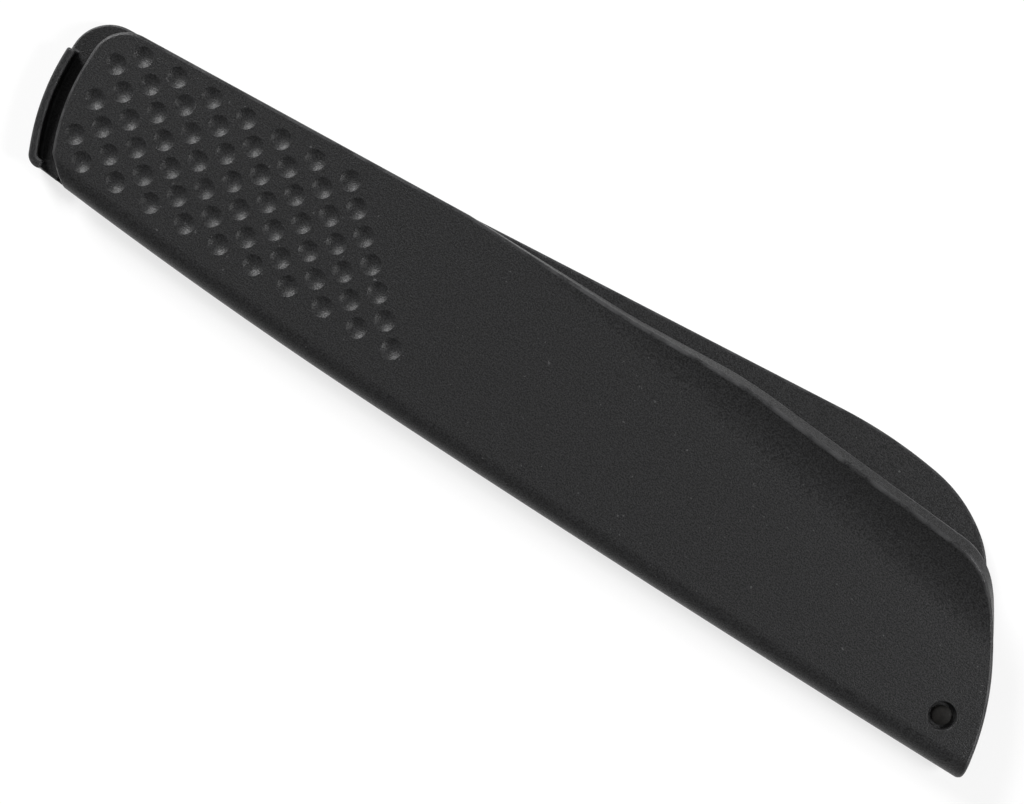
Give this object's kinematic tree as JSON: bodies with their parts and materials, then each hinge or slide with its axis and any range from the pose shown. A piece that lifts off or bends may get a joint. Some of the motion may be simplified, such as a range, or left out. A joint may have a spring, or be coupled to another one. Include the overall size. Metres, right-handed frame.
{
  "type": "magnetic knife blade guard",
  "caption": "Hinged blade guard for a cook's knife: two long leaves with a rolled hinged edge, a dimpled grip field, a flared mouth at the heel and magnets that hold it shut.",
  "frame": {"origin": "on the table under the middle of the closed guard's box, at the outer face of the back leaf", "axes": "+X along the hinge from the tip of the blade to its heel, +Y across the leaves from the hinge to the open edge, +Z from the back leaf up through the front leaf"},
  "size_m": [0.2386, 0.053, 0.0149],
  "materials": {
    "shell": "matte black moulded plastic with a fine texture",
    "liner": "smooth dark grey plastic plate",
    "edge_strip": "soft matte strip",
    "pin": "drawn stainless wire",
    "magnet": "nickel plate"
  },
  "bodies": {
    "back": {"back_shell": "shell", "hinge_pin": "pin", "back_liner": "liner", "back_rivet": "shell", "edge_rest": "edge_strip", "back_magnet_1": "magnet", "back_magnet_2": "magnet", "back_magnet_3": "magnet", "back_magnet_4": "magnet", "back_magnet_5": "magnet"},
    "front": {"front_shell": "shell", "pin_plug": "shell", "front_liner": "liner", "front_rivet": "shell", "front_magnet_1": "magnet", "front_magnet_2": "magnet", "front_magnet_3": "magnet", "front_magnet_4": "magnet", "front_magnet_5": "magnet"}
  },
  "joints": [
    {"name": "leaf_hinge", "type": "hinge", "parent": "back", "child": "front", "pos_m": [0, -0.01874, 0.0047], "axis": [1, 0, 0], "range_deg": [0, 70]}
  ]
}
